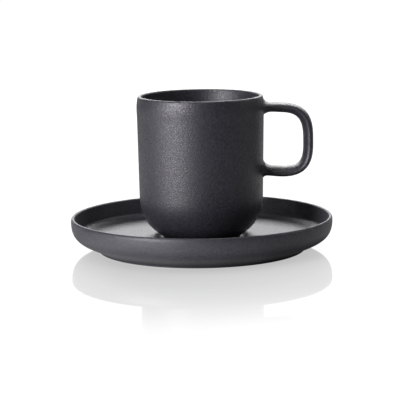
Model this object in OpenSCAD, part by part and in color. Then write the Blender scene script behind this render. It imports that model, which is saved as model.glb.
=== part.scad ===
// Espresso cup with its saucer, in dark stoneware.
// The frame's origin is on the common axis, in the plane that the saucer stands on.
// +Z is up and +X points to the handle.

/* [Saucer] */
// Outside diameter of the saucer at its lip
saucer_d = 120; // [110:1:150]
// Height of the saucer's lip above the table
saucer_h = 15.1; // [14:0.1:18]
// Thickness of the saucer's lip
saucer_lip_t = 1.7; // [1.4:0.1:2.4]
// Height of the saucer's flat floor above the table
saucer_floor_h = 6.1; // [5.8:0.1:7]
// Thickness of the saucer's floor over the hollow underneath
saucer_floor_t = 4; // [3:0.1:4.6]
// How far the wall leans out from the cove to the lip
saucer_wall_lean = 1.2; // [0.8:0.1:1.8]
// Width of the cove between the floor and the wall
cove_w = 5.4; // [4.5:0.1:8]
// Height of the cove above the floor
cove_h = 2.8; // [2.4:0.1:4.4]
// How far the saucer's foot ring stands in from the outside of the lip
saucer_foot_in = 12.5; // [11:0.1:14]
// Width of the saucer's foot ring
saucer_foot_w = 3.4; // [2.4:0.1:5]
// Height of the foot ring below the bowl's outline
saucer_foot_h = 1; // [0.6:0.1:1.4]

/* [Well] */
// Diameter of the well's floor, where the cup stands
well_d = 40; // [38:0.5:48]
// Depth of the well below the saucer's floor
well_depth = 1; // [0.6:0.1:1.6]
// Width of the well's sloping step
well_step_w = 1.5; // [0.8:0.1:3]

/* [Cup] */
// Height of the cup from its foot to the top of its lip
cup_h = 65.7; // [60:0.1:80]
// Widest outside diameter of the cup, at the bulge under its lip
cup_d = 58.1; // [54:0.1:66]
// How far the neck under the bulge lies in from the widest outline
neck_set_in = 0.15; // [0:0.05:0.5]
// Outside diameter where the straight wall meets the lower corner
cup_base_d = 56.5; // [52:0.1:57.5]
// Thickness of the cup's lip
cup_lip_t = 2.5; // [2:0.1:3]
// How far the lip stands in from the widest outline
lip_set_in = 0.5; // [0.2:0.1:0.8]
// Depth of the bulge's widest line below the lip's top
bulge_drop = 4.5; // [3.5:0.1:6]
// Depth of the neck below the lip's top
neck_drop = 10; // [8:0.1:14]
// Thickness of the cup's wall
cup_wall_t = 2.8; // [2.2:0.1:3.6]
// Height of the corner's upper end above the cup's foot
corner_top_h = 16.5; // [15:0.1:17.5]
// Width of the lower corner's ellipse, from its centre to the wall
corner_w = 27.4; // [24:0.1:27.5]
// Depth of the lower corner's ellipse, from its centre down
corner_drop = 18.3; // [17.6:0.1:19]
// Thickness of the cup's floor over the hollow underneath
cup_floor_t = 2.7; // [2.2:0.1:3.5]
// Outside diameter of the cup's foot ring
cup_foot_d = 34.4; // [32:0.1:36]
// Width of the cup's foot ring
cup_foot_w = 2.6; // [2:0.1:4]
// Depth of the hollow inside the cup's foot ring
cup_foot_hollow = 1.7; // [1:0.1:2]

/* [Handle] */
// Distance from the cup's axis to the middle of the handle's upright
grip_x = 49.1; // [45:0.1:54]
// Height of the upper arm's middle above the cup's foot, where the corner starts
arm_top_h = 59.5; // [56:0.1:60.5]
// Height of the lower arm's middle above the cup's foot, where the corner starts
arm_low_h = 30.4; // [24:0.1:34]
// Width of the strap, across the handle
strap_w = 10.8; // [8:0.1:14]
// Thickness of the strap along the upper arm
arm_top_t = 4.4; // [3.2:0.1:4.8]
// Thickness of the strap in the upper corner
bend_top_t = 4.8; // [3.6:0.1:5.4]
// Thickness of the strap along the upright
grip_t = 4.6; // [3.4:0.1:5.2]
// Thickness of the strap in the lower corner
bend_low_t = 4.4; // [3.4:0.1:5.2]
// Thickness of the strap along the lower arm
arm_low_t = 4.8; // [3.6:0.1:5.4]
// Width of the upper corner
bend_top_w = 11; // [9:0.1:13]
// Height of the upper corner
bend_top_h = 14.2; // [11:0.1:14.3]
// Width of the lower corner
bend_low_w = 13.3; // [10:0.1:14]
// Height of the lower corner
bend_low_h = 12.3; // [9:0.1:12.5]
// Drop of the upper arm from the cup's wall to the corner
arm_top_fall = 0.55; // [0:0.05:1.5]
// Drop of the lower arm from the cup's wall to the corner
arm_low_fall = 0.5; // [0:0.05:1.5]
// Length of the flare on the inner side of each root, along the arm
root_in_len = 4.2; // [3:0.1:5]
// Height of the flare on the inner side of each root
root_in_h = 2.2; // [1:0.1:3]
// Length of the flare on the outer side of each root, along the arm
root_out_len = 2.2; // [1.6:0.1:4]
// Height of the flare on the outer side of each root
root_out_h = 1.7; // [1:0.1:2.4]

/* [Hidden] */

// Radius of the small rounding on foot rings, where the glaze is wiped off
foot_edge_r = 0.4;
// How far the handle's sweep runs into the cup before the cup's outline trims it
root_bite = 1.4;

// Facets round a turned piece and round the strap, and steps along the curves
turn_facets = 180;
strap_facets = 28;
curve_steps = 14;
lip_steps = 10;
bulge_steps = 8;
well_steps = 6;
hollow_steps = 5;
edge_steps = 3;
root_steps = 12;
// Angle at which the rounding inside a foot ring leaves the ring, above the table
hollow_start_a = 30;
// Angle above level at which the rounding of the cup's lip passes into the bulge
lip_lean_a = 12;

// Shares that shape the curves, each of the size that it follows
root_crowding_share = 1.6;
side_growth_share = 2;
bowl_belly_share = 0.7;
bowl_foot_out_share = 0.43;
bowl_foot_up_share = 0.63;
cove_pull_share = 0.6;
bulge_pull_share = 0.35;
neck_pull_share = 0.4;
bend_top_in_share = 0.89;
bend_top_down_share = 0.52;
bend_low_down_share = 0.68;
bend_low_in_share = 0.81;

// Places that follow from the sizes above
saucer_r = saucer_d / 2;
saucer_lip_r = saucer_lip_t / 2;
saucer_lip_z = saucer_h - saucer_lip_r;
saucer_foot_r = saucer_r - saucer_foot_in;
dish_wall_r = saucer_r - saucer_lip_t - saucer_wall_lean;
well_z = saucer_floor_h - well_depth;
cup_z = well_z;
cup_r = cup_d / 2;
cup_base_r = cup_base_d / 2;
cup_foot_r = cup_foot_d / 2;
cup_lip_r = cup_lip_t / 2;
cup_lip_z = cup_h - cup_lip_r;
cup_lip_x = cup_r - lip_set_in - cup_lip_r;
corner_x = cup_base_r - corner_w;
cup_inner_floor_z = cup_foot_hollow + cup_floor_t;
inner_corner_w = corner_w - cup_wall_t;

// Points of an arc round c from angle a0 to angle a1, both ends included
function arc(c, rx, ry, a0, a1, steps) =
    [for (i = [0 : steps]) let (a = a0 + (a1 - a0) * i / steps) [c[0] + rx * cos(a), c[1] + ry * sin(a)]];

// Point on a cubic curve, and its direction
function cubic(a, b, c, d, t) =
    a * pow(1 - t, 3) + 3 * b * pow(1 - t, 2) * t + 3 * c * (1 - t) * pow(t, 2) + d * pow(t, 3);
function cubic_dir(a, b, c, d, t) =
    (b - a) * pow(1 - t, 2) + 2 * (c - b) * (1 - t) * t + (d - c) * pow(t, 2);

// Points of a cubic curve, both ends left out
function cubic_inside(a, b, c, d, steps) =
    [for (i = [1 : steps - 1]) cubic(a, b, c, d, i / steps)];

// Outline of the cup's outside, from the lip's top down to the foot's outer edge
corner_end_a = acos((cup_foot_r - corner_x) / corner_w);
lip_end = [cup_lip_x + cup_lip_r * cos(lip_lean_a), cup_lip_z + cup_lip_r * sin(lip_lean_a)];
bulge = [cup_r, cup_h - bulge_drop];
neck = [cup_r - neck_set_in, cup_h - neck_drop];
taper_dir = ([cup_base_r, corner_top_h] - neck) / norm([cup_base_r, corner_top_h] - neck);
bulge_pull = (lip_end[1] - bulge[1]) * bulge_pull_share;
neck_pull = (bulge[1] - neck[1]) * neck_pull_share;
cup_outside = concat(
    arc([cup_lip_x, cup_lip_z], cup_lip_r, cup_lip_r, 90, lip_lean_a, lip_steps),
    cubic_inside(
        lip_end,
        lip_end + [sin(lip_lean_a), -cos(lip_lean_a)] * bulge_pull,
        bulge + [0, bulge_pull],
        bulge,
        bulge_steps),
    [bulge],
    cubic_inside(bulge, bulge - [0, neck_pull], neck - taper_dir * neck_pull, neck, bulge_steps),
    [neck],
    arc([corner_x, corner_top_h], corner_w, corner_drop, 0, -corner_end_a, curve_steps),
    arc([cup_foot_r - foot_edge_r, foot_edge_r], foot_edge_r, foot_edge_r, 0, -90, edge_steps)
);

// Outline of the cup's hollow, from the middle of its floor up to the lip's top
inner_corner_h = corner_top_h - cup_inner_floor_z;
inner_neck = neck - [cup_wall_t, 0];
inner_lip = [cup_lip_x - cup_lip_r, cup_lip_z];
inner_pull = (inner_lip[1] - inner_neck[1]) * neck_pull_share;
cup_inside = concat(
    [[0, cup_inner_floor_z]],
    arc([cup_base_r - cup_wall_t - inner_corner_w, corner_top_h],
        inner_corner_w, inner_corner_h, -90, 0, curve_steps),
    [inner_neck],
    cubic_inside(
        inner_neck,
        inner_neck - taper_dir * inner_pull,
        inner_lip - [0, inner_pull],
        inner_lip,
        bulge_steps),
    arc([cup_lip_x, cup_lip_z], cup_lip_r, cup_lip_r, 180, 90, lip_steps)
);

// Hollow under the cup, inside its foot ring
foot_inner_r = cup_foot_r - cup_foot_w;
cup_underside = concat(
    arc([foot_inner_r + foot_edge_r, foot_edge_r], foot_edge_r, foot_edge_r, -90, -180, edge_steps),
    arc([foot_inner_r - cup_foot_hollow, 0],
        cup_foot_hollow, cup_foot_hollow, hollow_start_a, 90, hollow_steps),
    [[0, cup_foot_hollow]]
);

module cup_solid() {
    rotate_extrude($fn = turn_facets)
        polygon(concat([[0, cup_h]], cup_outside, [[0, 0]]));
}

module cup_body() {
    cup_wall_outline = concat(cup_outside, cup_underside, cup_inside);
    color([0.16, 0.16, 0.17])
        translate([0, 0, cup_z])
            rotate_extrude($fn = turn_facets)
                polygon(cup_wall_outline);
}

// Handle: a strap of oval section, swept along its middle line.
// The middle line runs from the cup's wall out along the upper arm, down the upright
// and back along the lower arm. It is drawn in the plane y = 0, as [x, z].
arm_top_start = [cup_r - root_bite, arm_top_h + arm_top_fall];
arm_top_end = [grip_x - bend_top_w, arm_top_h];
grip_top = [grip_x, arm_top_h - bend_top_h];
grip_low = [grip_x, arm_low_h + bend_low_h];
arm_low_end = [grip_x - bend_low_w, arm_low_h];
arm_low_start = [cup_base_r - root_bite, arm_low_h + arm_low_fall];

// A station is [point, direction, thickness, distance from the cup's wall]
function arm_stations(from, to, wall_x, thick) =
    [for (i = [0 : root_steps])
        let (p = from + (to - from) * pow(i / root_steps, root_crowding_share))
        [p, to - from, thick, p[0] - wall_x]];

function bend_stations(a, b, c, d, t0, t1, t2) =
    [for (i = [1 : curve_steps])
        let (t = i / curve_steps)
        [cubic(a, b, c, d, t), cubic_dir(a, b, c, d, t),
            t < 0.5 ? t0 + (t1 - t0) * 2 * t : t1 + (t2 - t1) * (2 * t - 1), root_in_len]];

function turned_back(stations) =
    [for (i = [len(stations) - 1 : -1 : 0])
        let (s = stations[i])
        [s[0], -s[1], s[2], s[3]]];

arm_top_dir = (arm_top_end - arm_top_start) / norm(arm_top_end - arm_top_start);
arm_low_dir = (arm_low_end - arm_low_start) / norm(arm_low_end - arm_low_start);
strap_stations = concat(
    arm_stations(arm_top_start, arm_top_end, cup_r, arm_top_t),
    bend_stations(
        arm_top_end,
        arm_top_end + arm_top_dir * bend_top_w * bend_top_in_share,
        grip_top + [0, bend_top_h * bend_top_down_share],
        grip_top,
        arm_top_t, bend_top_t, grip_t),
    [[grip_low, [0, -1], grip_t, root_in_len]],
    bend_stations(
        grip_low,
        grip_low - [0, bend_low_h * bend_low_down_share],
        arm_low_end + arm_low_dir * bend_low_w * bend_low_in_share,
        arm_low_end,
        grip_t, bend_low_t, arm_low_t),
    [for (i = [1 : root_steps])
        turned_back(arm_stations(arm_low_start, arm_low_end, cup_base_r, arm_low_t))[i]]
);

// Growth of a flare that is tall by h and reaches out by l, at distance d from the wall's outermost line
function flare(d, h, l) =
    d >= l ? 0
    : d <= 0 ? h
    : h * (1 - sqrt(1 - pow(1 - d / l, 2)));

// Across the strap a flare grows on past that line, because the round wall falls back there
function side_flare(d) =
    flare(d, root_in_h, root_in_len) - (d < 0 ? side_growth_share * root_in_h * d / root_in_len : 0);

// One ring of points round the strap at a station
function strap_ring(s) =
    let (
        dir = s[1] / norm(s[1]),
        out = [-dir[1], dir[0]],
        half_w = strap_w / 2 + side_flare(s[3]),
        out_h = s[2] / 2 + flare(s[3], root_out_h, root_out_len),
        in_h = s[2] / 2 + flare(s[3], root_in_h, root_in_len))
    [for (i = [0 : strap_facets - 1])
        let (
            a = 360 * (i + 0.5) / strap_facets,
            y = half_w * cos(a),
            h = sin(a) * (sin(a) > 0 ? out_h : in_h))
        [s[0][0] + out[0] * h, y, s[0][1] + out[1] * h]];

module strap() {
    rings = [for (s = strap_stations) strap_ring(s)];
    n = strap_facets;
    last = len(rings) - 1;
    points = [for (ring = rings) for (p = ring) p];
    sides = [for (k = [0 : last - 1]) for (i = [0 : n - 1])
        let (j = (i + 1) % n)
        each [[k * n + i, (k + 1) * n + i, (k + 1) * n + j], [k * n + i, (k + 1) * n + j, k * n + j]]];
    start_cap = [for (i = [1 : n - 2]) [0, i, i + 1]];
    end_cap = [for (i = [1 : n - 2]) [last * n, last * n + i + 1, last * n + i]];
    polyhedron(points, concat(sides, start_cap, end_cap));
}

module handle() {
    color([0.17, 0.17, 0.18])
        translate([0, 0, cup_z])
            difference() {
                strap();
                cup_solid();
            }
}

// Saucer: outline of the outside from the lip's top down to the foot ring
bowl_lip = [saucer_r, saucer_lip_z];
bowl_foot = [saucer_foot_r + foot_edge_r, saucer_foot_h];
saucer_outside = concat(
    arc([saucer_r - saucer_lip_r, saucer_lip_z], saucer_lip_r, saucer_lip_r, 90, 0, lip_steps),
    cubic_inside(
        bowl_lip,
        [saucer_r, saucer_floor_h * bowl_belly_share],
        bowl_foot + [saucer_foot_in * bowl_foot_out_share, saucer_floor_h * bowl_foot_up_share],
        bowl_foot,
        2 * curve_steps),
    [bowl_foot],
    [[saucer_foot_r, saucer_foot_h - foot_edge_r / 2]],
    arc([saucer_foot_r - foot_edge_r, foot_edge_r], foot_edge_r, foot_edge_r, 0, -90, edge_steps)
);

// Outline underneath, from the foot ring's inner edge to the middle
saucer_foot_in_r = saucer_foot_r - saucer_foot_w;
saucer_hollow_z = saucer_floor_h - saucer_floor_t;
saucer_underside = concat(
    arc([saucer_foot_in_r + foot_edge_r, foot_edge_r], foot_edge_r, foot_edge_r, -90, -180, edge_steps),
    arc([saucer_foot_in_r - saucer_hollow_z, 0],
        saucer_hollow_z, saucer_hollow_z, hollow_start_a, 90, hollow_steps),
    [[well_d / 2, saucer_hollow_z], [0, saucer_hollow_z]]
);

// Outline of the dish, from the middle of the well up to the lip's top
cove_top = [dish_wall_r, saucer_floor_h + cove_h];
cove_end = [dish_wall_r - cove_w, saucer_floor_h];
saucer_inside = concat(
    [[0, well_z], [well_d / 2, well_z]],
    cubic_inside(
        [well_d / 2, well_z],
        [well_d / 2 + well_step_w / 2, well_z],
        [well_d / 2 + well_step_w / 2, saucer_floor_h],
        [well_d / 2 + well_step_w, saucer_floor_h],
        well_steps),
    [[well_d / 2 + well_step_w, saucer_floor_h], cove_end],
    cubic_inside(
        cove_end,
        cove_end + [cove_w * cove_pull_share, 0],
        cove_top - [0, cove_h * cove_pull_share],
        cove_top,
        curve_steps),
    [cove_top],
    arc([saucer_r - saucer_lip_r, saucer_lip_z], saucer_lip_r, saucer_lip_r, 180, 90, lip_steps)
);

module saucer() {
    color([0.2, 0.2, 0.21])
        rotate_extrude($fn = turn_facets)
            polygon(concat(saucer_outside, saucer_underside, saucer_inside));
}

cup_body();
handle();
saucer();
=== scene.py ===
"""Matt dark stoneware espresso cup on its saucer, in a white studio set."""

import math

import bpy
import numpy as np
from mathutils import Matrix, Vector


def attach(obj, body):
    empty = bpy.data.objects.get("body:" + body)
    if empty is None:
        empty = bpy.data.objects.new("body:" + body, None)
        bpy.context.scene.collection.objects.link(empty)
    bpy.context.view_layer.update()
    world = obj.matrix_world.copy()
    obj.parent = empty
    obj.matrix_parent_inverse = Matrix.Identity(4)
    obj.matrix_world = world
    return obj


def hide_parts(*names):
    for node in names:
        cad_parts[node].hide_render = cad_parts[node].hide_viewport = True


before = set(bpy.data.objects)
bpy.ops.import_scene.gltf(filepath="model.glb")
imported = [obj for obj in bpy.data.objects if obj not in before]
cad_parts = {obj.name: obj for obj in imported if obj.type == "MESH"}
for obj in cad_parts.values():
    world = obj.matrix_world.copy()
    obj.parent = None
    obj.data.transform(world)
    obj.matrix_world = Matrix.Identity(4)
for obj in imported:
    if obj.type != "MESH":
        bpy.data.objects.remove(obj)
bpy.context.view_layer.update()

# Shapes are in millimetres, and this turns them into metres
MM = 0.001


# Sizes of the saucer and the cup

# The shares place the control points of the curves of the cove and of the belly under the rim
SAUCER = dict(r=60, h=15.4, lip=0.85, lip_side=1.9, floor=6.1, floor_t=4.0, lean=1.2, cove_w=5.4, cove_h=2.8,
              cove_share=0.6, belly_share=0.7, foot_out_share=0.50, foot_up_share=0.6, foot_r=47.5,
              foot_w=3.4, foot_h=1.0)
# The floor rises a little towards the well's edge
WELL = dict(r=18.2, depth=1.0, step=3.8, rise=0.6, ease_out=6, ease_in=8)
# Under the lip the wall bulges, draws in at the neck, tapers to the turn and curves from there to the foot
CUP = dict(h=65.7, r=29.05, lip=0.85, lip_in=0.5, lip_lean=12, bulge=6.0, bulge_share=0.35, neck=10.0,
           neck_in=0.15, neck_share=0.4, base_r=28.25, turn_top=20.0, turn_pull=14.6, wall=2.8,
           corner_top=16.5, corner_w=27.4, corner_gap=0.5, floor_t=2.7, hollow=1.7, foot_r=17.65,
           foot_w=3.05, foot_h=0.9, foot_pull=(1.3, 2.05))
# The cup's foot stands on the floor of the well
CUP_Z = SAUCER["floor"] - WELL["depth"]
# Rounding of the feet's edges, and the angle at which the corner of the hollow in a foot ring begins
FOOT_EDGE = 0.4
HOLLOW_FROM = 30
# The feet stand on bare clay up to this height
BARE_H = 0.15
# The mouth is a little lower at the front: how far, and the height over the table where that starts
MOUTH_SINK = 0.16
SINK_FROM = 52.0

# Stretches of each kind of curve, faces around a turned mesh, and the distance at which points count as one
STEPS = dict(lip=12, rim=16, mouth=16, bend=14, wall=40, inside=36, corner=48, floor=24, cove=28, edge=5,
             hollow=8)
TURN = 288
NEAR = 1e-4


# Curves

def arc(centre, rx, rz, a0, a1, steps):
    """Points of an arc from angle a0 to a1, in degrees, both ends included."""
    angles = np.radians(np.linspace(a0, a1, steps + 1))
    return np.c_[centre[0] + rx * np.cos(angles), centre[1] + rz * np.sin(angles)]


def cubic(a, b, c, d, steps):
    """Points of a cubic curve, both ends left out."""
    t = np.linspace(0, 1, steps + 1)[1:-1, None]
    a, b, c, d = (np.array(p, float) for p in (a, b, c, d))
    return a * (1 - t) ** 3 + 3 * b * (1 - t) ** 2 * t + 3 * c * (1 - t) * t ** 2 + d * t ** 3


def line(a, b, steps):
    """Points along a line, the far end left out."""
    t = np.linspace(0, 1, steps + 1)[:-1, None]
    return np.array(a, float) * (1 - t) + np.array(b, float) * t


def ease(t):
    """Smooth step from 0 to 1."""
    t = min(max(t, 0), 1)
    return t * t * (3 - 2 * t)


# Outlines: rows of radius and height

def foot_ring(size, hollow):
    """The foot's two rounded edges, from the outside in, and the corner of the hollow inside it."""
    outer = size["foot_r"] - FOOT_EDGE
    inner = size["foot_r"] - size["foot_w"]
    return np.vstack([
        arc((outer, FOOT_EDGE), FOOT_EDGE, FOOT_EDGE, 0, -90, STEPS["edge"]),
        arc((inner + FOOT_EDGE, FOOT_EDGE), FOOT_EDGE, FOOT_EDGE, -90, -180, STEPS["edge"]),
        arc((inner - hollow, 0), hollow, hollow, HOLLOW_FROM, 90, STEPS["hollow"]),
    ])


def cup_marks():
    """The middle of the lip's rounding, the bulge, the neck and the direction of the taper."""
    c = CUP
    lip = np.array((c["r"] - c["lip_in"] - c["lip"], c["h"] - c["lip"]))
    bulge = np.array((c["r"], c["h"] - c["bulge"]))
    neck = np.array((c["r"] - c["neck_in"], c["h"] - c["neck"]))
    taper = np.array((c["base_r"], c["corner_top"])) - neck
    return lip, bulge, neck, taper / np.linalg.norm(taper)


def cup_outside():
    """From the top of the lip down to the top of the foot."""
    c = CUP
    lip, bulge, neck, taper = cup_marks()
    lean = math.radians(c["lip_lean"])
    lip_end = lip + c["lip"] * np.array((math.cos(lean), math.sin(lean)))
    lip_way = np.array((math.sin(lean), -math.cos(lean)))
    bulge_pull = (lip_end[1] - bulge[1]) * c["bulge_share"]
    neck_pull = (bulge[1] - neck[1]) * c["neck_share"]
    turn = neck + taper * (c["turn_top"] - neck[1]) / taper[1]
    foot_top = np.array((c["foot_r"], c["foot_h"]))
    return np.vstack([
        arc(lip, c["lip"], c["lip"], 90, c["lip_lean"], STEPS["lip"]),
        cubic(lip_end, lip_end + lip_way * bulge_pull, bulge + (0, bulge_pull), bulge, STEPS["bend"]),
        [bulge],
        cubic(bulge, bulge - (0, neck_pull), neck - taper * neck_pull, neck, STEPS["bend"]),
        line(neck, turn, STEPS["wall"]),
        [turn],
        cubic(turn, turn + taper * c["turn_pull"], foot_top + c["foot_pull"], foot_top, STEPS["corner"]),
        [foot_top],
    ])


def cup_inside():
    """From the middle of the floor up to the top of the lip."""
    c = CUP
    lip, _, neck, taper = cup_marks()
    floor_z = c["hollow"] + c["floor_t"]
    wall_r = c["base_r"] - c["wall"]
    inner_w = c["corner_w"] - c["wall"]
    low = neck - (c["wall"], 0)
    top = lip - (c["lip"], 0)
    pull = (top[1] - low[1]) * c["neck_share"]
    corner = (wall_r - inner_w, c["corner_top"])
    return np.vstack([
        [[0, floor_z]],
        arc(corner, inner_w, c["corner_top"] - floor_z, -90, 0, STEPS["inside"]),
        line((wall_r, c["corner_top"] + c["corner_gap"]), low, STEPS["inside"]),
        [low],
        cubic(low, low - taper * pull, top - (0, pull), top, STEPS["mouth"]),
        arc(lip, c["lip"], c["lip"], 180, 90, STEPS["lip"]),
    ])


def cup_outline():
    """Down the outside, under the foot and up the inside."""
    return np.vstack([cup_outside(), foot_ring(CUP, CUP["hollow"]), [[0, CUP["hollow"]]], cup_inside()])


def saucer_outside():
    """From the top of the lip round the belly to the foot."""
    s = SAUCER
    side = (s["r"], s["h"] - s["lip_side"])
    foot = np.array((s["foot_r"] + FOOT_EDGE, s["foot_h"]))
    foot_pull = ((s["r"] - s["foot_r"]) * s["foot_out_share"], s["floor"] * s["foot_up_share"])
    return np.vstack([
        arc((s["r"] - s["lip"], side[1]), s["lip"], s["lip_side"], 90, 0, STEPS["rim"]),
        cubic(side, (side[0], s["floor"] * s["belly_share"]), foot + foot_pull, foot, STEPS["corner"]),
        [foot, (s["foot_r"], s["foot_h"] - FOOT_EDGE / 2)],
    ])


def saucer_inside():
    """From the middle of the well over its edge, the floor and the cove to the top of the lip."""
    s, w = SAUCER, WELL
    edge = (w["r"] + w["step"], s["floor"] + w["rise"])
    step_mid = w["r"] + w["step"] / 2
    wall_r = s["r"] - 2 * s["lip"] - s["lean"]
    cove_top = (wall_r, s["floor"] + s["cove_h"])
    cove_end = (wall_r - s["cove_w"], s["floor"])
    floor_in = (edge[0] + w["ease_out"], edge[1])
    floor_out = (cove_end[0] - w["ease_in"], s["floor"])
    cove_low = (cove_end[0] + s["cove_w"] * s["cove_share"], s["floor"])
    cove_high = (wall_r, cove_top[1] - s["cove_h"] * s["cove_share"])
    return np.vstack([
        [(0, CUP_Z), (w["r"], CUP_Z)],
        cubic((w["r"], CUP_Z), (step_mid, CUP_Z), (step_mid, edge[1]), edge, STEPS["bend"]),
        [edge],
        cubic(edge, floor_in, floor_out, cove_end, STEPS["floor"]),
        [cove_end],
        cubic(cove_end, cove_low, cove_high, cove_top, STEPS["cove"]),
        [cove_top],
        arc((s["r"] - s["lip"], s["h"] - s["lip"]), s["lip"], s["lip"], 180, 90, STEPS["lip"]),
    ])


def saucer_outline():
    """Down the outside, under the foot and the well, and up the inside."""
    hollow = SAUCER["floor"] - SAUCER["floor_t"]
    underside = [(WELL["r"], hollow), (0, hollow)]
    return np.vstack([saucer_outside(), foot_ring(SAUCER, hollow), underside, saucer_inside()])


# Turned meshes

def mesh_object(name, verts, faces, marks=None):
    """A smooth mesh object; marks are the material numbers of its faces."""
    mesh = bpy.data.meshes.new(name)
    mesh.from_pydata([tuple(v) for v in verts], [], faces)
    mesh.update()
    mesh.shade_smooth()
    obj = bpy.data.objects.new(name, mesh)
    bpy.context.scene.collection.objects.link(obj)
    if marks is not None:
        mesh.polygons.foreach_set("material_index", marks)
    return obj


def on_foot(size, r, z):
    """Whether a place on an outline is on the bare face that the piece stands on."""
    return z < BARE_H and size["foot_r"] - size["foot_w"] < r < size["foot_r"]


def revolve(name, outline, z0, size):
    """A closed turned mesh, raised by z0, from an outline that touches the axis; its foot stands bare."""
    keep = [0] + [i for i in range(1, len(outline)) if np.hypot(*(outline[i] - outline[i - 1])) > NEAR]
    outline = outline[keep]
    if np.hypot(*(outline[0] - outline[-1])) < NEAR:
        outline = outline[:-1]
    verts, rings = [], []
    angles = 2 * math.pi * np.arange(TURN) / TURN
    for r, z in outline:
        if r < NEAR:
            rings.append([len(verts)])
            verts.append((0, 0, (z + z0) * MM))
        else:
            rings.append(list(range(len(verts), len(verts) + TURN)))
            verts += [(r * math.cos(a) * MM, r * math.sin(a) * MM, (z + z0) * MM) for a in angles]
    faces, marks = [], []
    for k in range(len(rings)):
        following = (k + 1) % len(rings)
        a, b = rings[k], rings[following]
        if len(a) == 1 and len(b) == 1:
            continue
        bare = on_foot(size, *((outline[k] + outline[following]) / 2))
        for i in range(TURN):
            j = (i + 1) % TURN
            if len(a) == 1:
                face = (b[i], b[j], a[0])
            elif len(b) == 1:
                face = (b[0], a[j], a[i])
            else:
                face = (b[i], b[j], a[j], a[i])
            faces.append(face)
            marks.append(int(bare))
    return mesh_object(name, verts, faces, marks)


def settle_mouth(obj):
    """Lowers the mouth smoothly, most at the front and not at all at the back."""
    for v in obj.data.vertices:
        up = (v.co.z / MM - SINK_FROM) / (CUP["h"] + CUP_Z - SINK_FROM)
        v.co.z -= MOUTH_SINK * MM * ease(up) * (1 - v.co.y / MM / CUP["r"]) / 2


# Handle

# Two arms, two bends and a grip, with thicknesses along the way; heights are over the cup's foot. At a root
# the strap grows inside the loop and sideways by root_in over in_len, and outside it by root_out over
# out_len.
HANDLE = dict(grip_x=49.1, top=59.5, low=30.4, w=10.8, top_t=4.4, bend_top_t=4.8, grip_t=4.6, bend_low_t=4.4,
              low_t=4.8, bend_top_w=11.0, bend_top_h=14.2, bend_low_w=13.3, bend_low_h=12.3, top_fall=0.55,
              low_fall=0.5, in_len=4.2, root_in=2.2, out_len=2.2, root_out=1.7, crest=0.65)
# Shares of a bend's width and height that lie between its ends and its control points
TOP_SHARES = (0.89, 0.52)
LOW_SHARES = (0.81, 0.68)
# A root takes the wall's roundness over this many times in_len, and its end lies this deep in the wall
FOLLOW_TIMES = 1.6
ROOT_DEPTH = 0.3
# Stretches along an arm, how strongly they crowd towards the root, stretches along a bend, and sides
ARM_STEPS = 24
ARM_CROWDING = 1.7
BEND_STEPS = 32
STRAP_SIDES = 48
# A distance from the wall at which a root has no effect
FAR = 99


def unit(v):
    return v / np.linalg.norm(v)


def bezier(a, b, c, d, t):
    """Point and direction on a cubic curve."""
    p = a * (1 - t) ** 3 + 3 * b * (1 - t) ** 2 * t + 3 * c * (1 - t) * t ** 2 + d * t ** 3
    v = (b - a) * (1 - t) ** 2 + 2 * (c - b) * (1 - t) * t + (d - c) * t ** 2
    return p, unit(v)


def thickness(t, a, b, c):
    """Smooth thickness along a bend, from a through b to c."""
    return a + (b - a) * ease(2 * t) if t < 0.5 else b + (c - b) * ease(2 * t - 1)


def flare(d, height, length):
    """Growth of a root's flare at distance d from the wall."""
    q = min(max(1 - d / length, 0), 1)
    return height * (1 - math.sqrt(1 - q * q))


def arm_stations(start, end, way, thick):
    """Stations of an arm, from the wall outwards."""
    places = (start + (end - start) * s for s in (np.arange(ARM_STEPS + 1) / ARM_STEPS) ** ARM_CROWDING)
    return [(p, way, thick, p[0] - start[0]) for p in places]


def bend_stations(a, b, c, d, thicks):
    """Stations of a bend, without its start."""
    out = []
    for t in np.linspace(0, 1, BEND_STEPS + 1)[1:]:
        p, way = bezier(a, b, c, d, t)
        out.append((p, way, thickness(t, *thicks), FAR))
    return out


def handle_stations():
    """Point, direction, thickness and distance from the wall, from the top root to the low one."""
    h = HANDLE
    down = np.array((0.0, -1.0))
    top_start = np.array((CUP["r"], h["top"] + h["top_fall"]))
    top_end = np.array((h["grip_x"] - h["bend_top_w"], h["top"]))
    grip_top = np.array((h["grip_x"], h["top"] - h["bend_top_h"]))
    grip_low = np.array((h["grip_x"], h["low"] + h["bend_low_h"]))
    low_end = np.array((h["grip_x"] - h["bend_low_w"], h["low"]))
    low_start = np.array((CUP["base_r"], h["low"] + h["low_fall"]))
    top_way = unit(top_end - top_start)
    low_way = unit(low_end - low_start)
    top_out = top_end + top_way * h["bend_top_w"] * TOP_SHARES[0]
    top_over = grip_top - down * h["bend_top_h"] * TOP_SHARES[1]
    low_under = grip_low + down * h["bend_low_h"] * LOW_SHARES[1]
    low_out = low_end + low_way * h["bend_low_w"] * LOW_SHARES[0]
    top_thicks = (h["top_t"], h["bend_top_t"], h["grip_t"])
    low_thicks = (h["grip_t"], h["bend_low_t"], h["low_t"])
    top_arm = arm_stations(top_start, top_end, top_way, h["top_t"])
    top_bend = bend_stations(top_end, top_out, top_over, grip_top, top_thicks)
    grip = [(p, down, h["grip_t"], FAR) for p in ((grip_top + grip_low) / 2, grip_low)]
    low_bend = bend_stations(grip_low, low_under, low_out, low_end, low_thicks)
    low_arm = arm_stations(low_start, low_end, -low_way, h["low_t"])
    return top_arm + top_bend + grip + low_bend + low_arm[::-1][1:]


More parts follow.
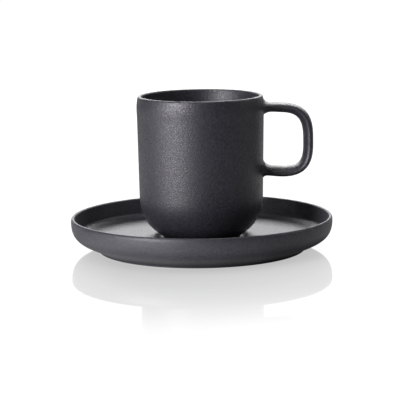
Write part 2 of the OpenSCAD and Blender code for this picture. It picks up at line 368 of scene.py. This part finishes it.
def make_handle():
    """An oval strap swept along its stations, closed by a last ring inside the wall at each root."""
    h = HANDLE
    wall = cup_outside()[::-1]
    stations = handle_stations()
    verts = []
    for p, way, thick, dist in stations:
        out = np.array((-way[1], way[0]))
        grown = flare(dist, h["root_in"], h["in_len"])
        half = h["w"] / 2 + grown
        outer = thick / 2 + flare(dist, h["root_out"], h["out_len"])
        inner = thick / 2 + grown
        follow = 1 - ease(dist / (h["in_len"] * FOLLOW_TIMES))
        for i in range(STRAP_SIDES):
            a = 2 * math.pi * (i + 0.5) / STRAP_SIDES
            y = half * math.cos(a)
            # The strap's edges sit towards its outer face
            crest = h["crest"] * (1 - follow) * math.cos(a) ** 2
            x, z = p + out * (math.sin(a) * (outer if math.sin(a) > 0 else inner) + crest)
            wall_r = np.interp(z, wall[:, 1], wall[:, 0])
            wall_x = math.sqrt(wall_r * wall_r - y * y)
            x += (wall_x - (p[0] - dist)) * follow
            verts.append((x * MM, y * MM, (z + CUP_Z) * MM))
    n = STRAP_SIDES
    verts += [(x - ROOT_DEPTH * MM, y, z) for x, y, z in verts[:n] + verts[-n:]]
    first, last = len(stations), len(stations) + 1
    order = [first] + list(range(len(stations))) + [last]
    faces = []
    for a, b in zip(order[:-1], order[1:]):
        for i in range(n):
            j = (i + 1) % n
            faces.append((a * n + i, b * n + i, b * n + j, a * n + j))
    faces.append(tuple(first * n + i for i in range(n)))
    faces.append(tuple(last * n + i for i in range(n))[::-1])
    return mesh_object("cup_handle", verts, faces)


# Shader nodes

WHITE = (1, 1, 1, 1)


def add_node(tree, kind, inputs, **settings):
    """A node whose inputs get values, or links where the value is the output of another node."""
    made = tree.nodes.new(kind)
    for name, value in settings.items():
        setattr(made, name, value)
    for socket, value in inputs.items():
        if isinstance(value, bpy.types.NodeSocket):
            tree.links.new(value, made.inputs[socket])
        else:
            made.inputs[socket].default_value = value
    return made


def map_range(tree, value, low, high, to_low, to_high, kind="LINEAR"):
    inputs = {"Value": value, "From Min": low, "From Max": high, "To Min": to_low, "To Max": to_high}
    return add_node(tree, "ShaderNodeMapRange", inputs, interpolation_type=kind).outputs["Result"]


def calculate(tree, operation, a, b):
    return add_node(tree, "ShaderNodeMath", {0: a, 1: b}, operation=operation).outputs["Value"]


def grey_ramp(tree, value, stops, kind="LINEAR"):
    """Greys along a ramp; stops are pairs of place and level, in order of place."""
    made = add_node(tree, "ShaderNodeValToRGB", {"Fac": value})
    ramp = made.color_ramp
    ramp.interpolation = kind
    # A new ramp has its two elements at the ends
    ramp.elements[0].position = stops[0][0]
    ramp.elements[1].position = stops[-1][0]
    for place, _ in stops[1:-1]:
        ramp.elements.new(place)
    for stop, (_, level) in zip(ramp.elements, stops):
        stop.color = (level, level, level, 1)
    return made.outputs["Color"]


def seen_or_other(tree, seen, other, output):
    """Shows one shader to the camera and the other one to every other ray."""
    path = add_node(tree, "ShaderNodeLightPath", {}).outputs["Is Camera Ray"]
    mix = add_node(tree, "ShaderNodeMixShader", {"Fac": path, 1: other.outputs[0], 2: seen.outputs[0]})
    add_node(tree, output, {"Surface": mix.outputs[0]})


# Glaze and clay

# Hue, as shares of the grey, and the gloss
HUE = (1.0, 0.96, 1.26)
GLOSS = {"Specular IOR Level": 0.5, "IOR": 1.5, "Specular Tint": (0.97, 0.95, 1.0, 1)}
# Mottling changes colour and roughness between these two values of its noise; grain is relief
MOTTLE = {"Scale": 1050, "Detail": 4, "Roughness": 0.6}
MOTTLE_SPAN = (0.3, 0.7)
ROUGH_SPREAD = 0.15
GRAIN = {"Scale": 1350, "Detail": 3, "Roughness": 0.7}
GRAIN_STRENGTH = 0.6
GRAIN_DEPTH = 0.35


def stoneware(name, base, rough, fleck):
    """Matt stoneware; fleck is how far its fine mottling goes from the mean."""
    mat = bpy.data.materials.new(name)
    mat.use_nodes = True
    tree = mat.node_tree
    place = add_node(tree, "ShaderNodeTexCoord", {}).outputs["Object"]
    mottle = add_node(tree, "ShaderNodeTexNoise", {"Vector": place, **MOTTLE}).outputs["Fac"]
    grain = add_node(tree, "ShaderNodeTexNoise", {"Vector": place, **GRAIN}).outputs["Fac"]
    colour = add_node(tree, "ShaderNodeValToRGB", {"Fac": mottle})
    for stop, at, share in zip(colour.color_ramp.elements, MOTTLE_SPAN, (1 - fleck, 1 + fleck)):
        stop.position = at
        stop.color = tuple(base * share * hue for hue in HUE) + (1,)
    spread = ROUGH_SPREAD * fleck
    relief = {"Strength": GRAIN_STRENGTH, "Distance": GRAIN_DEPTH * MM * fleck, "Height": grain}
    shader = tree.nodes["Principled BSDF"]
    for socket, value in GLOSS.items():
        shader.inputs[socket].default_value = value
    roughness = map_range(tree, mottle, *MOTTLE_SPAN, rough + spread, rough - spread)
    normal = add_node(tree, "ShaderNodeBump", relief).outputs["Normal"]
    tree.links.new(colour.outputs["Color"], shader.inputs["Base Color"])
    tree.links.new(roughness, shader.inputs["Roughness"])
    tree.links.new(normal, shader.inputs["Normal"])
    return mat


# Camera

CAMERA_AT = (0.300, -792.63, 152.01)
CAMERA_PITCH = 9.2863
CAMERA_YAW = -0.069
CAMERA_ROLL = 0.7495
FOCAL_PX = 1749.23
PICTURE_PX = 400
SENSOR_WIDTH = 36


def make_camera():
    """The calibrated camera, from its place, its angles in degrees and its focal length in pixels."""
    p, y, r = (math.radians(a) for a in (CAMERA_PITCH, CAMERA_YAW, CAMERA_ROLL))
    ahead = Vector((math.sin(y) * math.cos(p), math.cos(y) * math.cos(p), -math.sin(p)))
    right = Vector((math.cos(y), -math.sin(y), 0))
    up = right.cross(ahead)
    right, up = right * math.cos(r) - up * math.sin(r), right * math.sin(r) + up * math.cos(r)
    cam = bpy.data.cameras.new("camera")
    cam.sensor_width = SENSOR_WIDTH
    cam.lens = FOCAL_PX / PICTURE_PX * SENSOR_WIDTH
    obj = bpy.data.objects.new("camera", cam)
    bpy.context.scene.collection.objects.link(obj)
    rot = Matrix((right, up, -ahead)).transposed().to_4x4()
    obj.matrix_world = Matrix.Translation(Vector(CAMERA_AT) * MM) @ rot
    bpy.context.scene.camera = obj


# Lamps

# Name, azimuth, elevation, distance, width, height and radiance; azimuth 0 is the camera's side, and 90
# the handle's. Angles are in degrees and lengths in metres.
SOFTBOXES = (
    ("key_box", 316, 14, 1.5, 0.43, 0.43, 39.7),
    ("key_high", 322, 32, 1.5, 0.5, 0.5, 3.0),
    ("key_strip", 304, 5, 1.5, 0.43, 0.27, 14.5),
    ("left_box", 285, 9, 1.5, 0.8, 0.42, 2.4),
    ("back_left_box", 195, 32, 1.6, 0.83, 0.83, 5.4),
    ("back_right_box", 165, 32, 1.6, 0.83, 0.83, 4.4),
    ("right_box", 100, 32, 1.6, 0.9, 0.9, 1.9),
    ("top_box", 0, 88, 1.6, 0.9, 0.9, 3.5),
)
# The place in the cup that the lamps face
LAMPS_FACE = Vector((0, 0, 0.035))


def softbox(name, azimuth, elevation, away, width, height, radiance):
    """A rectangular lamp that faces the cup and that the camera doesn't see."""
    a, e = math.radians(azimuth), math.radians(elevation)
    at = Vector((math.sin(a) * math.cos(e), -math.cos(a) * math.cos(e), math.sin(e))) * away
    light = bpy.data.lights.new(name, "AREA")
    light.shape = "RECTANGLE"
    light.size = width
    light.size_y = height
    light.energy = radiance * math.pi * width * height
    obj = bpy.data.objects.new(name, light)
    bpy.context.scene.collection.objects.link(obj)
    obj.location = at
    obj.rotation_mode = "QUATERNION"
    obj.rotation_quaternion = (LAMPS_FACE - at).to_track_quat("-Z", "Y")
    obj.visible_camera = False


# Room

# Its light on the camera's side and at the back, and how far back a direction points where the one begins
# to pass into the other and where that ends
ROOM_DIM = (0.03, 0.03, 0.031, 1)
ROOM_BRIGHT = (0.99, 0.98, 1.025, 1)
BACK_SPAN = (0.62, 0.9)


def make_world():
    """White to the camera; to the object bright at the back and dim everywhere else."""
    world = bpy.data.worlds.new("studio")
    bpy.context.scene.world = world
    world.use_nodes = True
    tree = world.node_tree
    tree.nodes.clear()
    way = add_node(tree, "ShaderNodeTexCoord", {}).outputs["Generated"]
    back = add_node(tree, "ShaderNodeSeparateXYZ", {0: way}).outputs["Y"]
    share = map_range(tree, back, *BACK_SPAN, 0, 1, "SMOOTHSTEP")
    tint = add_node(tree, "ShaderNodeValToRGB", {"Fac": share})
    for stop, colour in zip(tint.color_ramp.elements, (ROOM_DIM, ROOM_BRIGHT)):
        stop.color = colour
    room = add_node(tree, "ShaderNodeBackground", {"Color": tint.outputs["Color"], "Strength": 1})
    seen = add_node(tree, "ShaderNodeBackground", {"Color": WHITE, "Strength": 1})
    seen_or_other(tree, seen, room, "ShaderNodeOutputWorld")


# Table

# Half its width in metres
TABLE_HALF = 3.0

# How far from the axis it mirrors, in millimetres, and its share of mirrored light at distances up to there
MIRROR_REACH = 200
MIRROR_SHARES = ((50, 0.45), (59, 0.395), (72, 0.365), (84, 0.355), (95, 0.334), (107, 0.312), (117, 0.28),
                 (128, 0.23), (138, 0.185), (148, 0.13), (160, 0.085), (172, 0.055), (186, 0.03), (200, 0.0))
MIRROR_ROUGH = 0.02
# The polish, and what it gives at a glance as flat as the camera's
POLISH_IOR = 1.5
POLISH = 0.34

# Painted shade on its white across its width, at places in millimetres, out to this reach
TABLE_REACH = 100
TABLE_PAINTED_SHADE = ((-64, 0.985), (-36, 0.86), (-16, 0.86), (14, 0.905), (60, 0.975))
# Between these distances from the axis in metres that painted shade passes into an even white
EVEN_SPAN = (0.15, 0.5)
# The matt grey that takes the lamps' shadows
TABLE_MATT = (0.15, 0.15, 0.15, 1)

# Brightness of the table's painted glow on the object, by azimuth: at the foot, close to the saucer and
# further off
GLOW_TOP = 2.5
GLOW_FOOT = ((-180, 0.05), (-90, 0.3), (-50, 0.62), (-22, 0.62), (0, 0.4), (20, 0.25), (45, 0.1), (90, 0.05),
             (180, 0.05))
GLOW_NEAR = ((-180, 0.2), (-135, 0.8), (-90, 0.5), (-67, 1.45), (-45, 2.0), (-22, 2.1), (0, 1.15),
             (20, 0.85), (45, 0.65), (90, 0.55), (135, 0.2), (180, 0.2))
GLOW_FAR = ((-180, 0.1), (-112, 0.9), (-90, 1.1), (-67, 2.3), (-45, 2.0), (-22, 1.5), (0, 0.05), (45, 0.3),
            (68, 0.6), (90, 0.6), (112, 0.85), (145, 0.7), (180, 0.1))
# Between these distances in metres one ring passes into the next; the glow leaves a painted shadow under the
# saucer
GLOW_STEPS = ((0.056, 0.075), (0.10, 0.16))
GLOW_PAINTED_SHADOW = (0.043, 0.052)
GLOW_END = (0.3, 0.9)


def painted_table_glow(tree, x, y, distance):
    """The table as the object sees it: a painted glow, brightest on the key's side, with painted shadow
    under the saucer and dark far off.
    """
    # Emission stands in for the light the lit table would throw back onto the object
    azimuth = calculate(tree, "ARCTAN2", x, calculate(tree, "MULTIPLY", y, -1))
    turn = map_range(tree, azimuth, -math.pi, math.pi, 0, 1)
    rings = []
    for levels in (GLOW_FOOT, GLOW_NEAR, GLOW_FAR):
        stops = [(at / 360 + 0.5, level / GLOW_TOP) for at, level in levels]
        rings.append(grey_ramp(tree, turn, stops, "EASE"))
    shade = rings[0]
    for span, ring in zip(GLOW_STEPS, rings[1:]):
        fade = map_range(tree, distance, *span, 0, 1, "SMOOTHSTEP")
        both = add_node(tree, "ShaderNodeMix", {"Factor": fade, "A": shade, "B": ring}, data_type="RGBA")
        shade = both.outputs["Result"]
    # Painted shadow: the glow is cut off under the saucer
    lit = map_range(tree, distance, *GLOW_PAINTED_SHADOW, 0, 1, "SMOOTHSTEP")
    end = map_range(tree, distance, *GLOW_END, GLOW_TOP, 0, "SMOOTHSTEP")
    strength = calculate(tree, "MULTIPLY", lit, end)
    return add_node(tree, "ShaderNodeEmission", {"Color": shade, "Strength": strength})


def table_picture(tree, x, distance):
    """The table as the camera sees it: white with painted shade near the object and the lamps' soft shadows,
    and a faint mirror close to the object.
    """
    across = map_range(tree, x, -TABLE_REACH * MM, TABLE_REACH * MM, 0, 1)
    # Painted shade: the table's white is dimmed unevenly across it near the object
    side = grey_ramp(tree, across, [(at / TABLE_REACH / 2 + 0.5, level) for at, level in TABLE_PAINTED_SHADE])
    even = map_range(tree, distance, *EVEN_SPAN, side, 1)
    white = add_node(tree, "ShaderNodeEmission", {"Strength": even})
    matt = add_node(tree, "ShaderNodeBsdfDiffuse", {"Color": TABLE_MATT})
    lit = add_node(tree, "ShaderNodeAddShader", {0: white.outputs[0], 1: matt.outputs[0]})
    mirror = add_node(tree, "ShaderNodeBsdfGlossy", {"Color": WHITE, "Roughness": MIRROR_ROUGH})
    away = calculate(tree, "DIVIDE", distance, MIRROR_REACH * MM)
    faded = grey_ramp(tree, away, [(at / MIRROR_REACH, share) for at, share in MIRROR_SHARES])
    fresnel = add_node(tree, "ShaderNodeFresnel", {"IOR": POLISH_IOR}).outputs["Fac"]
    share = calculate(tree, "MULTIPLY", faded, calculate(tree, "DIVIDE", fresnel, POLISH))
    return add_node(tree, "ShaderNodeMixShader", {"Fac": share, 1: lit.outputs[0], 2: mirror.outputs[0]})


def make_floor():
    corners = [(x * TABLE_HALF, y * TABLE_HALF, 0) for x, y in ((-1, -1), (1, -1), (1, 1), (-1, 1))]
    floor = mesh_object("floor", corners, [(0, 1, 2, 3)])
    mat = bpy.data.materials.new("white_table")
    mat.use_nodes = True
    tree = mat.node_tree
    tree.nodes.clear()
    place = add_node(tree, "ShaderNodeTexCoord", {}).outputs["Object"]
    distance = add_node(tree, "ShaderNodeVectorMath", {0: place}, operation="LENGTH").outputs["Value"]
    split = add_node(tree, "ShaderNodeSeparateXYZ", {0: place})
    x, y = split.outputs["X"], split.outputs["Y"]
    seen = table_picture(tree, x, distance)
    seen_or_other(tree, seen, painted_table_glow(tree, x, y, distance), "ShaderNodeOutputMaterial")
    floor.data.materials.append(mat)


# Pieces

cup = revolve("cup_shell", cup_outline(), CUP_Z, CUP)
settle_mouth(cup)
saucer = revolve("saucer_dish", saucer_outline(), 0, SAUCER)
handle = make_handle()

cup_glaze = stoneware("cup_glaze", base=0.020, rough=0.42, fleck=0.65)
saucer_glaze = stoneware("saucer_glaze", base=0.023, rough=0.48, fleck=0.4)
clay = stoneware("bare_clay", base=0.05, rough=0.8, fleck=0.65)
for piece, mat in ((cup, cup_glaze), (handle, cup_glaze), (saucer, saucer_glaze)):
    piece.data.materials.append(mat)
    piece.data.materials.append(clay)

for piece, node, body, slot in ((cup, "cup_body", "cup", "cup_stoneware"),
                                (handle, "handle", "cup", "cup_stoneware"),
                                (saucer, "saucer", "saucer", "saucer_stoneware")):
    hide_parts(node)
    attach(piece, body)

make_camera()
make_world()
make_floor()
for lamp in SOFTBOXES:
    softbox(*lamp)

scene = bpy.context.scene
scene.view_settings.view_transform = "Standard"
